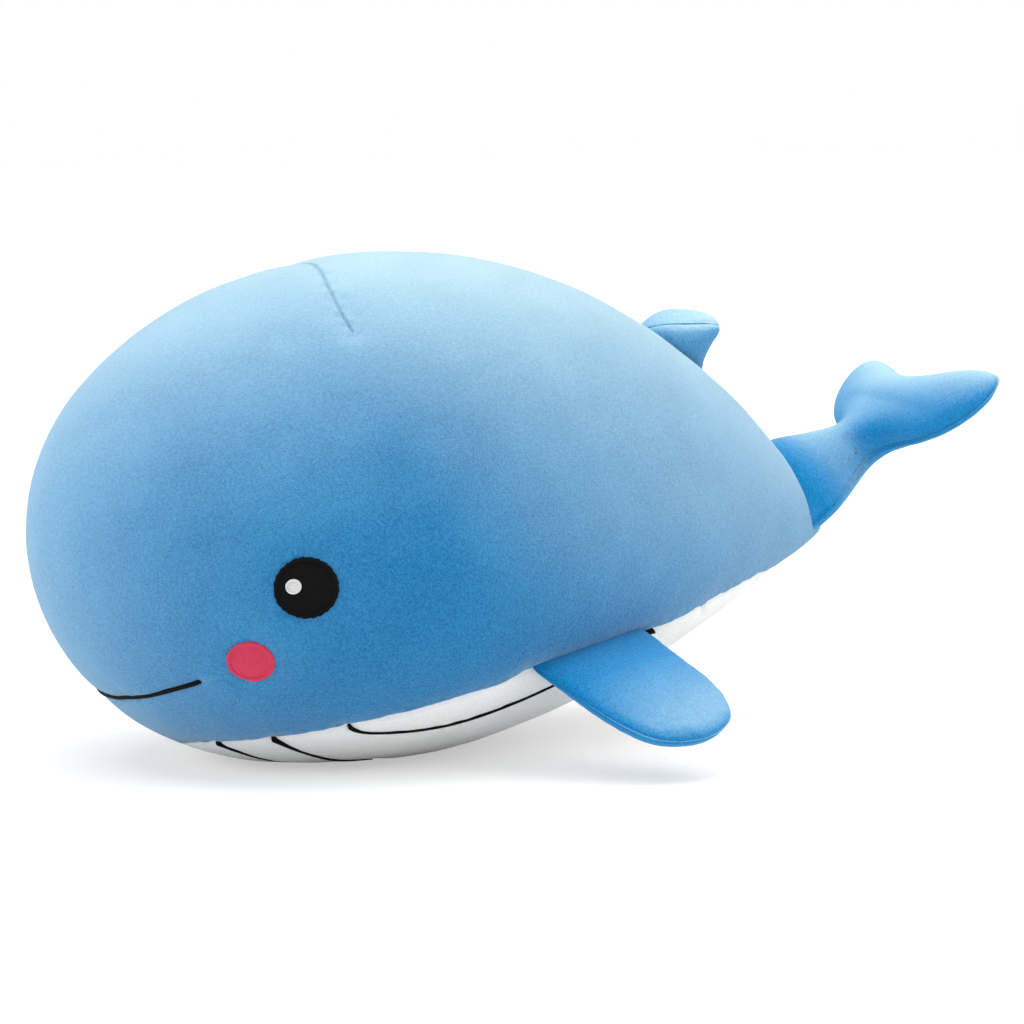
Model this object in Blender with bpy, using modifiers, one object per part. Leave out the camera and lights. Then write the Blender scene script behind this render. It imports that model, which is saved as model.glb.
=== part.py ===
# Plush whale in metres: nose along +X, its left side along +Y, resting on z = 0.
import math

import bmesh
import bpy
import numpy as np
from mathutils import Matrix, Vector

# Body
body_half_length = 0.187
body_half_width = 0.106
crown_height = 0.120
belly_depth = 0.089
body_middle_x = -0.054
nose_lift = 0.0075
rest_sink = 0.0046
rest_flat_depth = 0.0005
rest_softness = 0.0005
skin_thickness = 0.003
piece_gap = 0.0003
width_shares = (1, 0.32, -0.19, 0.11)
crown_shares = (1, 0.14, -0.18, 0.115)
belly_shares = (1, 0.535, -0.18, 0.095, 0.03)
body_detail = 4
axis_steps = 720

# Seam between back and belly: along the body, then height over the crown height.
side_seam_shares = (
    (1.04, 0.02),
    (0.70, 0.055),
    (0.684, 0.094),
    (0.675, 0.117),
    (0.63, 0.130),
    (0.58, 0.142),
    (0.44, 0.200),
    (0.26, 0.267),
    (0.01, 0.362),
    (-0.14, 0.407),
    (-0.30, 0.442),
    (-0.50, 0.508),
    (-0.60, 0.543),
    (-0.70, 0.567),
    (-0.78, 0.569),
    (-0.86, 0.575),
    (-1.16, 0.60),
)

# Seam of the dart over the crown: along the body, then across it.
dart_shares = ((0.405, 0.60), (0.405, 0.49), (0.39, 0.33), (0.365, 0.16), (0.35, 0.0))
dart_radius = 0.0009

# Stitched lines: along the body, then across it.
mouth_shares = ((0.846, 0.0), (0.845, 0.11), (0.843, 0.18), (0.826, 0.33), (0.80, 0.45), (0.771, 0.555))
outer_line_shares = (
    (0.415, 0.645),
    (0.34, 0.650),
    (0.25, 0.665),
    (0.17, 0.685),
    (0.10, 0.710),
    (0.01, 0.730),
    (-0.09, 0.735),
    (-0.19, 0.715),
    (-0.27, 0.690),
)
middle_line_shares = (
    (0.545, 0.435),
    (0.50, 0.430),
    (0.45, 0.395),
    (0.39, 0.355),
    (0.33, 0.335),
    (0.27, 0.33),
)
inner_line_shares = ((0.645, 0.275), (0.61, 0.255), (0.56, 0.255), (0.50, 0.265), (0.45, 0.285))
thread_radius = 0.0008
thread_depth = 0.0009
weld_share = 0.01

# Embroidered face: along the body, then height over the crown height.
eye_place_shares = (0.610, 0.725)
highlight_place_shares = (0.634, 0.733)
cheek_place_shares = (0.697, 0.463)
eye_radius = 0.013
highlight_radius = 0.0034
cheek_radius = 0.0098
embroidery_thickness = 0.0007
patch_segments = 20

# Flippers: across the root, then from root to tip.
flipper_chord = 0.062
flipper_span = 0.066
flipper_droop = math.radians(28)
flipper_front_shares = (0.043, 0.355)
flipper_rear_shares = (-0.262, 0.437)
flipper_outline_shares = (
    (0.39, -0.18),
    (0.42, -0.03),
    (0.39, 0.15),
    (0.355, 0.33),
    (0.32, 0.515),
    (0.265, 0.70),
    (0.17, 0.865),
    (0.015, 0.96),
    (-0.16, 1.0),
    (-0.32, 0.985),
    (-0.475, 0.91),
    (-0.57, 0.76),
    (-0.60, 0.575),
    (-0.58, 0.365),
    (-0.57, 0.15),
    (-0.55, -0.03),
    (-0.485, -0.18),
    (-0.26, -0.24),
    (-0.03, -0.26),
    (0.19, -0.24),
)
flipper_middle_shares = (-0.10, 0.42)
flipper_half_thickness = 0.0068
flipper_fullness_shares = ((-0.26, 0.62), (0.0, 0.62), (0.35, 1.0), (1.0, 0.9))
flipper_raise = math.radians(60)
flipper_lower = math.radians(20)

# Dorsal fin: along its root, then up to its tip. It leans to the whale's left.
fin_root_length = 0.036
fin_height = 0.022
fin_lean = math.radians(33)
fin_front_share = -0.50
fin_rear_share = -0.70
fin_outline_shares = (
    (0.53, -0.18),
    (0.515, 0.06),
    (0.42, 0.28),
    (0.285, 0.48),
    (0.13, 0.69),
    (-0.01, 0.87),
    (-0.13, 0.975),
    (-0.19, 0.955),
    (-0.215, 0.86),
    (-0.235, 0.70),
    (-0.265, 0.50),
    (-0.33, 0.27),
    (-0.43, 0.04),
    (-0.50, -0.23),
    (-0.25, -0.41),
    (0.17, -0.41),
)
fin_middle_shares = (0.0, 0.25)
fin_right_height = 0.016
fin_left_height = 0.0095
fin_fullness_shares = ((-0.41, 0.7), (0.0, 0.8), (0.3, 1.0), (1.0, 1.0))
fin_right_roundness = 0.45
fin_swing_right = math.radians(30)
fin_swing_left = math.radians(10)

# Tail: half width from root to the notch between the flukes, then along the tail.
fluke_half_span = 0.058
tail_length = 0.092
tail_rise = math.radians(41)
tail_root_share = -0.9144
tail_root_height_share = 0.854
tail_half_outline_shares = (
    (0.0, -0.22),
    (0.18, -0.195),
    (0.28, -0.11),
    (0.30, 0.02),
    (0.27, 0.15),
    (0.215, 0.285),
    (0.195, 0.38),
    (0.25, 0.447),
    (0.395, 0.495),
    (0.60, 0.545),
    (0.79, 0.622),
    (0.93, 0.73),
    (1.0, 0.85),
    (0.985, 0.945),
    (0.885, 0.992),
    (0.72, 0.985),
    (0.50, 0.95),
    (0.24, 0.90),
    (0.0, 0.875),
)
tail_middle_shares = (0.0, 0.59)
tail_rise_height = 0.053
tail_drop_height = 0.0095
tail_rise_shares = (
    (-0.22, 1.2),
    (0.0, 1.0),
    (0.11, 0.755),
    (0.27, 0.475),
    (0.45, 0.31),
    (0.60, 0.245),
    (0.71, 0.24),
    (1.0, 0.255),
)
tail_drop_shares = ((-0.22, 1.2), (0.0, 1.0), (0.27, 0.62), (0.45, 0.68), (0.65, 0.74), (1.0, 0.68))
tail_seam_drop = 0.0138
tail_seam_sag = 0.0023
tail_lift_up = math.radians(12)
tail_lift_down = math.radians(12)

limb_skin_thickness = 0.0018
pillow_rings = 8
seam_steps = 16
reach_share = 2

# Directions
forwards = Vector((1, 0, 0))
sideways = Vector((0, 1, 0))
upwards = Vector((0, 0, 1))

# Colours as red, green and blue, then roughness.
plush_blue = (0.10, 0.36, 0.68)
plush_white = (0.80, 0.79, 0.77)
thread_black = (0.01, 0.01, 0.012)
thread_white = (0.85, 0.85, 0.85)
thread_pink = (0.66, 0.04, 0.11)
stuffing_white = (0.88, 0.88, 0.86)
cloth_roughness = 0.95
thread_roughness = 0.6


def clear_scene():
    for old in list(bpy.data.objects):
        bpy.data.objects.remove(old, do_unlink=True)


def new_collection(name):
    made = bpy.data.collections.new(name)
    bpy.context.scene.collection.children.link(made)
    return made


def add_object(name, shape, collection):
    mesh = bpy.data.meshes.new(name)
    shape.to_mesh(mesh)
    shape.free()
    made = bpy.data.objects.new(name, mesh)
    collection.objects.link(made)
    return made


def add_cutter(name, shape):
    made = add_object(name, shape, cutters)
    made.hide_render = True
    made.display_type = "WIRE"
    return made


def paint(obj, colour, roughness):
    material = bpy.data.materials.new(obj.name)
    material.use_nodes = True
    shader = material.node_tree.nodes["Principled BSDF"]
    shader.inputs["Base Color"].default_value = (*colour, 1)
    shader.inputs["Roughness"].default_value = roughness
    shader.inputs["Metallic"].default_value = 0
    obj.data.materials.clear()
    obj.data.materials.append(material)


def add_boolean(obj, operation, cutter):
    step = obj.modifiers.new(cutter.name, "BOOLEAN")
    step.operation = operation
    step.solver = "EXACT"
    step.object = cutter


def add_shell(obj, thickness, side):
    step = obj.modifiers.new("skin", "SOLIDIFY")
    step.thickness = thickness
    step.offset = side
    step.use_even_offset = True


def share_sum(shares, along):
    return sum(share * along**power for power, share in enumerate(shares))


def axis_base():
    # Height of the body's middle line at its middle, with the belly sunk into the resting plane.
    turn = np.linspace(0, math.pi, axis_steps + 1)
    lowest = np.sin(turn) * belly_depth * share_sum(belly_shares, np.cos(turn)) - nose_lift * np.cos(turn)
    return lowest.max() - rest_sink


def soft_floor(height, level):
    return level + rest_softness * np.logaddexp(0, (height - level) / rest_softness)


def body_surface(unit, outset):
    # Moves points of the unit sphere to the body's surface, this far outside it.
    along = unit[:, 0]
    wide = body_half_width * share_sum(width_shares, along) + outset
    high = crown_height * share_sum(crown_shares, along) + outset
    deep = belly_depth * share_sum(belly_shares, along) + outset
    x = body_middle_x + (body_half_length + outset) * along
    y = wide * unit[:, 1]
    z = np.where(unit[:, 2] > 0, high, deep) * unit[:, 2] + body_axis + nose_lift * along
    return np.column_stack([x, y, soft_floor(z, -rest_flat_depth - outset)])


def body_point(along, unit_y, unit_z, outset):
    return Vector(body_surface(np.array([[along, unit_y, unit_z]]), outset)[0])


def body_point_across(along, across, upper, outset):
    # The point of the body at this share along it and this share of its half width across.
    ring = math.sqrt(1 - along * along)
    unit_y = across / share_sum(width_shares, along)
    unit_z = math.sqrt(ring * ring - unit_y * unit_y)
    return body_point(along, unit_y, unit_z if upper else -unit_z, outset)


def body_point_beside(along, height_share, side, outset):
    # The point on one side of the body at this share along it and this height.
    ring = math.sqrt(1 - along * along)
    above = height_share * crown_height - body_axis - nose_lift * along
    full, shares = (crown_height, crown_shares) if above > 0 else (belly_depth, belly_shares)
    unit_z = above / (full * share_sum(shares, along))
    return body_point(along, side * math.sqrt(ring * ring - unit_z * unit_z), unit_z, outset)


def body_form(detail, outset):
    shape = bmesh.new()
    bmesh.ops.create_icosphere(shape, subdivisions=detail, radius=1)
    unit = np.array([corner.co for corner in shape.verts])
    for corner, place in zip(shape.verts, body_surface(unit, outset)):
        corner.co = place
    return shape


def shrink_evenly(shape, inset):
    # Moves every face in by the same distance.
    shape.normal_update()
    steps = [corner.normal * corner.calc_shell_factor() * inset for corner in shape.verts]
    for corner, step in zip(shape.verts, steps):
        corner.co -= step


def extruded_form(outline, half_width, axes):
    # A flat outline made solid to both sides of its plane. Axes: its two directions, then its depth.
    shape = bmesh.new()
    first, second, depth = axes
    lower = [shape.verts.new(first * u + second * v - depth * half_width) for u, v in outline]
    face = shape.faces.new(lower)
    grown = bmesh.ops.extrude_face_region(shape, geom=[face])
    raised = [part for part in grown["geom"] if isinstance(part, bmesh.types.BMVert)]
    bmesh.ops.translate(shape, verts=raised, vec=depth * 2 * half_width)
    bmesh.ops.recalc_face_normals(shape, faces=shape.faces)
    return shape


def belly_zone(lowered):
    line = [
        (body_middle_x + along * body_half_length, height * crown_height - lowered)
        for along, height in side_seam_shares
    ]
    outline = line + [(line[-1][0], -crown_height), (line[0][0], -crown_height)]
    return extruded_form(outline, body_half_width * reach_share, (forwards, upwards, sideways))


def floor_zone():
    reach = body_half_length * reach_share
    outline = [(-reach, 0), (reach, 0), (reach, -crown_height), (-reach, -crown_height)]
    return extruded_form(outline, body_half_width * reach_share, (forwards, upwards, sideways))


def tube_form(points, radius):
    curve = bpy.data.curves.new("guide", "CURVE")
    curve.dimensions = "3D"
    curve.bevel_depth = radius
    curve.bevel_resolution = 1
    curve.use_fill_caps = True
    line = curve.splines.new("POLY")
    line.points.add(len(points) - 1)
    for knot, place in zip(line.points, points):
        knot.co = (*place, 1)
    guide = bpy.data.objects.new("guide", curve)
    bpy.context.scene.collection.objects.link(guide)
    graph = bpy.context.evaluated_depsgraph_get()
    mesh = bpy.data.meshes.new_from_object(guide.evaluated_get(graph))
    bpy.data.objects.remove(guide, do_unlink=True)
    shape = bmesh.new()
    shape.from_mesh(mesh)
    bpy.data.meshes.remove(mesh)
    bmesh.ops.remove_doubles(shape, verts=shape.verts, dist=radius * weld_share)
    bmesh.ops.recalc_face_normals(shape, faces=shape.faces)
    return shape


def lengthened(points, extra):
    first = points[0] + (points[0] - points[1]).normalized() * extra
    last = points[-1] + (points[-1] - points[-2]).normalized() * extra
    return [first, *points[1:-1], last]


def stitch_line(name, points, shell, colour):
    # A stitched line lying in its own groove of the shell.
    thread = add_object(name, tube_form(points, thread_radius), whale)
    paint(thread, colour, thread_roughness)
    groove = tube_form(lengthened(points, piece_gap), thread_radius + piece_gap)
    add_boolean(shell, "DIFFERENCE", add_cutter(name + "_groove", groove))


def embroidered_patch(name, place, radius, side, outset, colour):
    # A round of stitching that follows the body's surface.
    along, height = place
    centre = body_point_beside(along, height, side, outset)
    outward = (body_point_beside(along, height, side, outset + body_half_width) - centre).normalized()
    patch = add_object(name, body_form(body_detail, outset), whale)
    add_shell(patch, embroidery_thickness, 1)
    round_shape = bmesh.new()
    turned = outward.to_track_quat("Z", "Y").to_matrix().to_4x4()
    bmesh.ops.create_cone(
        round_shape,
        cap_ends=True,
        segments=patch_segments,
        radius1=radius,
        radius2=radius,
        depth=body_half_width / 2,
        matrix=Matrix.Translation(centre) @ turned,
    )
    add_boolean(patch, "INTERSECT", add_cutter(name + "_round", round_shape))
    paint(patch, colour, thread_roughness)


def between(value, shares):
    return float(np.interp(value, [row[0] for row in shares], [row[1] for row in shares]))


def inset_outline(points, inset):
    moved = []
    for index, place in enumerate(points):
        ahead = points[(index + 1) % len(points)] - points[index - 1]
        moved.append(place + Vector((-ahead.y, ahead.x)).normalized() * inset)
    return moved


def pillow_form(limb, inset):
    # A stuffed pillow between two panels, whose edge seam is the outline: x across the limb and y along it.
    points = inset_outline(limb["outline"], inset)
    shape = bmesh.new()
    bmesh.ops.create_uvsphere(shape, u_segments=len(points), v_segments=pillow_rings, radius=1)
    for corner in shape.verts:
        turn = math.atan2(corner.co.y, corner.co.x) / (2 * math.pi) * len(points)
        edge = points[round(turn) % len(points)]
        outward = min(1, math.hypot(corner.co.x, corner.co.y))
        place = limb["middle"].lerp(edge, outward)
        height = limb["rise"] if corner.co.z > 0 else limb["drop"]
        roundness = limb["roundness"] if corner.co.z > 0 else 1
        stand = math.copysign(abs(corner.co.z) ** roundness, corner.co.z)
        corner.co = (place.x, place.y, limb["seam"](place.y) + (height(place.y) - inset) * stand)
    bmesh.ops.recalc_face_normals(shape, faces=shape.faces)
    bmesh.ops.triangulate(shape, faces=shape.faces, quad_method="FIXED")
    return shape


def half_zone(limb, upper):
    # Everything on one side of the limb's edge seam.
    reach = limb["reach"]
    steps = [reach * (2 * step / seam_steps - 1) for step in range(seam_steps + 1)]
    shift = piece_gap / 2 if upper else -piece_gap / 2
    line = [(step, limb["seam"](step) + shift) for step in steps]
    far = reach if upper else -reach
    outline = line + [(steps[-1], far), (steps[0], far)]
    return extruded_form(outline, reach, (sideways, upwards, forwards))


def frame_matrix(origin, across, along, up):
    turned = Matrix((across, along, up)).transposed().to_4x4()
    return Matrix.Translation(origin) @ turned


def add_limb(limb):
    # Two panels sewn around a filling, all cut clear of the body through the joint's travel.
    clear_zones = []
    for index, turn in enumerate((0, *limb["travel"])):
        zone = add_cutter(f"{limb['name']}_clear_{index}", body_form(body_detail, piece_gap))
        about = Matrix.Rotation(-turn, 4, limb["hinge"])
        origin = Matrix.Translation(limb["frame"].translation)
        zone.matrix_world = origin @ about @ origin.inverted()
        clear_zones.append(zone)
    hollow = add_cutter(limb["name"] + "_hollow", pillow_form(limb, limb_skin_thickness))
    hollow.matrix_world = limb["frame"]
    for label, upper in limb["panels"]:
        panel = add_object(f"{limb['name']}_{label}", pillow_form(limb, 0), whale)
        panel.matrix_world = limb["frame"]
        half = add_cutter(f"{limb['name']}_{label}_half", half_zone(limb, upper))
        half.matrix_world = limb["frame"]
        for zone in clear_zones:
            add_boolean(panel, "DIFFERENCE", zone)
        add_boolean(panel, "DIFFERENCE", hollow)
        add_boolean(panel, "INTERSECT", half)
        paint(panel, plush_blue, cloth_roughness)
    inside = pillow_form(limb, limb_skin_thickness)
    shrink_evenly(inside, piece_gap)
    filling = add_object(limb["name"] + "_filling", inside, whale)
    filling.matrix_world = limb["frame"]
    for zone in clear_zones:
        add_boolean(filling, "DIFFERENCE", zone)
    paint(filling, stuffing_white, cloth_roughness)


def level_seam(along):
    return 0


def sized(shares, width, length):
    return [Vector((across * width, run * length)) for across, run in shares]


def flipper_limb(side):
    front = body_point_beside(*flipper_front_shares, side, 0)
    rear = body_point_beside(*flipper_rear_shares, side, 0)
    forward = (front - rear).normalized()
    level = upwards.cross(forward).normalized() * side
    upright = (forward.cross(level) * side).normalized()
    outward = level * math.cos(flipper_droop) - upright * math.sin(flipper_droop)
    along = outward * side
    up = forward.cross(along)
    outline = sized(flipper_outline_shares, flipper_chord, flipper_span * side)

    def thickness(run):
        return flipper_half_thickness * between(run * side / flipper_span, flipper_fullness_shares)

    return {
        "name": "left_flipper" if side > 0 else "right_flipper",
        "outline": outline if side > 0 else outline[::-1],
        "middle": sized([flipper_middle_shares], flipper_chord, flipper_span * side)[0],
        "rise": thickness,
        "drop": thickness,
        "seam": level_seam,
        "roundness": 1,
        "reach": flipper_span * reach_share,
        "frame": frame_matrix((front + rear) / 2, forward, along, up),
        "hinge": forward,
        "travel": (flipper_raise * side, -flipper_lower * side),
        "panels": (("top_panel", True), ("bottom_panel", False)),
    }


def dorsal_fin_limb():
    front = body_point_across(fin_front_share, 0, True, 0)
    rear = body_point_across(fin_rear_share, 0, True, 0)
    forward = (front - rear).normalized()
    upright = forward.cross(sideways).normalized()
    along = upright * math.cos(fin_lean) + sideways * math.sin(fin_lean)

    def right_height(run):
        return fin_right_height * between(run / fin_height, fin_fullness_shares)

    def left_height(run):
        return fin_left_height * between(run / fin_height, fin_fullness_shares)

    return {
        "name": "dorsal_fin",
        "outline": sized(fin_outline_shares, fin_root_length, fin_height),
        "middle": sized([fin_middle_shares], fin_root_length, fin_height)[0],
        "rise": right_height,
        "drop": left_height,
        "seam": level_seam,
        "roundness": fin_right_roundness,
        "reach": fin_root_length * reach_share,
        "frame": frame_matrix((front + rear) / 2, forward, along, forward.cross(along)),
        "hinge": forward,
        "travel": (fin_swing_right, -fin_swing_left),
        "panels": (("right_panel", True), ("left_panel", False)),
    }


def tail_limb():
    along = Vector((-math.cos(tail_rise), 0, math.sin(tail_rise)))
    half = sized(tail_half_outline_shares, fluke_half_span, tail_length)
    other = [Vector((-place.x, place.y)) for place in half[-2:0:-1]]
    root_x = body_middle_x + body_half_length * tail_root_share
    root = Vector((root_x, 0, crown_height * tail_root_height_share))

    def rise(run):
        return tail_rise_height * between(run / tail_length, tail_rise_shares)

    def drop(run):
        return tail_drop_height * between(run / tail_length, tail_drop_shares)

    def seam(run):
        share = min(1, max(0, run / tail_length))
        return -tail_seam_drop - 4 * tail_seam_sag * share * (1 - share)

    return {
        "name": "tail",
        "outline": half + other,
        "middle": sized([tail_middle_shares], fluke_half_span, tail_length)[0],
        "rise": rise,
        "drop": drop,
        "seam": seam,
        "roundness": 1,
        "reach": tail_length * reach_share,
        "frame": frame_matrix(root, sideways, along, sideways.cross(along)),
        "hinge": sideways,
        "travel": (tail_lift_up, -tail_lift_down),
        "panels": (("top_panel", True), ("bottom_panel", False)),
    }


def surface_line(shares, side, upper):
    return [body_point_across(along, across * side, upper, -thread_depth) for along, across in shares]


def surface_dart():
    one_side = [body_point_across(along, across, True, 0) for along, across in dart_shares]
    other_side = [Vector((place.x, -place.y, place.z)) for place in one_side[-2::-1]]
    return one_side + other_side


def add_body():
    back = add_object("back_shell", body_form(body_detail, 0), whale)
    add_shell(back, skin_thickness, -1)
    add_boolean(back, "DIFFERENCE", add_cutter("belly_zone_back", belly_zone(0)))
    paint(back, plush_blue, cloth_roughness)
    belly = add_object("belly_panel", body_form(body_detail, 0), whale)
    add_shell(belly, skin_thickness, -1)
    add_boolean(belly, "INTERSECT", add_cutter("belly_zone_panel", belly_zone(piece_gap)))
    add_boolean(belly, "DIFFERENCE", add_cutter("floor_zone", floor_zone()))
    paint(belly, plush_white, cloth_roughness)
    inside = body_form(body_detail, 0)
    shrink_evenly(inside, skin_thickness + piece_gap)
    filling = add_object("body_filling", inside, whale)
    paint(filling, stuffing_white, cloth_roughness)
    add_boolean(back, "DIFFERENCE", add_cutter("dart_groove", tube_form(surface_dart(), dart_radius)))
    return back, belly


def add_face(back):
    smile = surface_line(mouth_shares[:0:-1], 1, False) + surface_line(mouth_shares, -1, False)
    stitch_line("mouth_line", smile, back, thread_black)
    for side, label in ((1, "left"), (-1, "right")):
        embroidered_patch(f"{label}_eye", eye_place_shares, eye_radius, side, piece_gap, thread_black)
        over_eye = 2 * piece_gap + embroidery_thickness
        embroidered_patch(
            f"{label}_eye_highlight", highlight_place_shares, highlight_radius, side, over_eye, thread_white
        )
        embroidered_patch(f"{label}_cheek", cheek_place_shares, cheek_radius, side, piece_gap, thread_pink)


def add_belly_lines(belly):
    lines = (("outer", outer_line_shares), ("middle", middle_line_shares), ("inner", inner_line_shares))
    for side, label in ((1, "left"), (-1, "right")):
        for where, shares in lines:
            line = surface_line(shares, side, False)
            stitch_line(f"{label}_{where}_belly_line", line, belly, thread_black)


clear_scene()
whale = new_collection("plush_whale")
cutters = new_collection("cutters")
body_axis = axis_base()
back_shell, belly_panel = add_body()
add_face(back_shell)
add_belly_lines(belly_panel)
for limb_plan in (flipper_limb(1), flipper_limb(-1), dorsal_fin_limb(), tail_limb()):
    add_limb(limb_plan)
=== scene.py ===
import math

import bmesh
import bpy
import numpy as np
from mathutils import Matrix, Vector, noise
from mathutils.bvhtree import BVHTree


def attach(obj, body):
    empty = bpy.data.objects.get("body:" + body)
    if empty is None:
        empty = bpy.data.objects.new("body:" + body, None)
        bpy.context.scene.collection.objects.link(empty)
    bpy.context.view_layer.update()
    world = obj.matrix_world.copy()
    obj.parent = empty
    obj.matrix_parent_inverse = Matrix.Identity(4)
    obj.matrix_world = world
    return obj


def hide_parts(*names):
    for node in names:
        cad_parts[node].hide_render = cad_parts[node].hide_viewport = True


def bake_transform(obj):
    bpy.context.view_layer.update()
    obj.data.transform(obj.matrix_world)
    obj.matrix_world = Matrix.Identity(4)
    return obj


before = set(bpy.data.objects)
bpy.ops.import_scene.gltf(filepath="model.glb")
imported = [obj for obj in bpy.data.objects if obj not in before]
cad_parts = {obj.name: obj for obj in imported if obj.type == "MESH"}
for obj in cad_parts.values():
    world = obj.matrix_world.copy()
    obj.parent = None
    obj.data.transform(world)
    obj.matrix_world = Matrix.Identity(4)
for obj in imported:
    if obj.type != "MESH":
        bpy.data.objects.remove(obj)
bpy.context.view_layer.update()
sideDirection = Vector((0, 1, 0))
upDirection = Vector((0, 0, 1))


# Shader arithmetic: a wired socket that works in ordinary Python expressions.
class Wire:
    def __init__(self, paint, socket):
        self.paint = paint
        self.socket = socket
        self.kind = socket.type

    def combine(self, operation, first, second):
        kinds = [part.kind for part in (first, second) if isinstance(part, Wire)]
        if "RGBA" in kinds:
            settings = {"data_type": "RGBA", "blend_type": operation}
            return self.paint.add("ShaderNodeMix", settings, {0: 1.0, 6: first, 7: second}, 2)
        if "VECTOR" in kinds:
            return self.paint.add("ShaderNodeVectorMath", {"operation": operation}, {0: first, 1: second})
        return self.paint.add("ShaderNodeMath", {"operation": operation}, {0: first, 1: second})

    def __add__(self, other):
        return self.combine("ADD", self, other)

    def __radd__(self, other):
        return self.combine("ADD", other, self)

    def __sub__(self, other):
        return self.combine("SUBTRACT", self, other)

    def __rsub__(self, other):
        return self.combine("SUBTRACT", other, self)

    def __mul__(self, other):
        return self.combine("MULTIPLY", self, other)

    def __rmul__(self, other):
        return self.combine("MULTIPLY", other, self)


class Paint:
    def __init__(self, name, world=False):
        self.material = (bpy.data.worlds if world else bpy.data.materials).new(name)
        self.material.use_nodes = True
        self.tree = self.material.node_tree
        self.shader = self.tree.nodes["Background" if world else "Principled BSDF"]

    def add(self, kind, settings=None, values=None, output=0):
        node = self.tree.nodes.new(kind)
        for key, value in (settings or {}).items():
            setattr(node, key, value)
        for key, value in (values or {}).items():
            self.feed(node.inputs[key], value)
        return Wire(self, node.outputs[output])

    def feed(self, socket, value):
        if isinstance(value, Wire):
            self.tree.links.new(value.socket, socket)
            return
        if isinstance(value, (tuple, list)):
            value = tuple(value)
            if socket.type == "RGBA" and len(value) == 3:
                value = (*value, 1.0)
        elif socket.type in ("RGBA", "VECTOR"):
            value = (value,) * (4 if socket.type == "RGBA" else 3)
        socket.default_value = value

    def place(self):
        return self.add("ShaderNodeTexCoord", output=3)

    def noise(self, place, scale, detail=2.0, roughness=0.5):
        values = {"Vector": place, "Scale": scale, "Detail": detail, "Roughness": roughness}
        return self.add("ShaderNodeTexNoise", values=values)

    def ramp(self, value, low, high):
        # 0 at the low value, 1 at the high one, and clamped.
        values = {"Value": value, "From Min": low, "From Max": high}
        return self.add("ShaderNodeMapRange", {"clamp": True}, values)

    def greatest(self, first, second):
        return self.add("ShaderNodeMath", {"operation": "MAXIMUM"}, {0: first, 1: second})

    def seenDirectly(self):
        # 1 for camera, glossy and transmission rays, and 0 for the light that bounces.
        rays = ("Is Camera Ray", "Is Glossy Ray", "Is Transmission Ray")
        camera, glossy, through = (self.add("ShaderNodeLightPath", output=ray) for ray in rays)
        return self.greatest(self.greatest(camera, glossy), through)

    def sine(self, value):
        return self.add("ShaderNodeMath", {"operation": "SINE"}, {0: value})

    def between(self, first, second, share):
        return self.add("ShaderNodeMix", {"data_type": "RGBA"}, {0: share, 6: first, 7: second}, 2)

    def bump(self, height, distance, strength=1.0, under=None):
        values = {"Height": height, "Distance": distance, "Strength": strength}
        if under:
            values["Normal"] = under
        return self.add("ShaderNodeBump", values=values)

    def finish(self, **values):
        for key, value in values.items():
            self.feed(self.shader.inputs[key.replace("_", " ")], value)
        return self.material


# Short-pile plush: clumped pile, brushed patches and a soft halo where it is seen edge on, with painted top and
# side light that pales the pile where it faces up, towards its ends and by painted-light shares on the mesh.
plushLook = {
    "blue": {
        "deep": (0.002, 0.092, 0.262),
        "pale": (0.020, 0.240, 0.490),
        # Painted light: the crown colour stands in for top light, and the ends share for side light.
        "crown": (0.365, 0.530, 0.590),
        "paintedEndLight": 0.24,
        "sheen": (0.76, 0.93, 1.0),
        "sheenWeight": 0.5,
    },
    "limbBlue": {
        "deep": (0.001, 0.120, 0.350),
        "pale": (0.006, 0.295, 0.610),
        "crown": (0.385, 0.560, 0.620),
        "paintedEndLight": 0.0,
        "sheen": (0.70, 0.92, 1.0),
        "sheenWeight": 0.3,
    },
    "white": {
        "deep": (0.75, 0.75, 0.74),
        "pale": (0.88, 0.88, 0.87),
        "crown": (0.88, 0.88, 0.87),
        "paintedEndLight": 0.0,
        "sheen": (1.0, 1.0, 1.0),
        "sheenWeight": 0.15,
    },
    # Painted top light: how much of the crown colour is mixed in where the surface faces up.
    "paintedTopLightShare": 0.62,
    "paintedTopLightFull": 1.06,
    "paintedTopLightGrain": (0.86, 1.12),
    "sheenRoughness": 0.48,
    "pileSize": 1700.0,
    "clumpSize": 780.0,
    "brushSize": 28.0,
    "brushReach": 0.12,
    "bendSize": 160.0,
    "bendReach": 0.0012,
    # Layers of the grain, each with its low and high value and its share.
    "grain": {"pile": (0.35, 0.80, 0.50), "clump": (0.34, 0.66, 0.34), "brush": (0.30, 0.70, 0.16)},
    "pileHeight": 0.00020,
    "clumpHeight": 0.00019,
}


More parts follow.
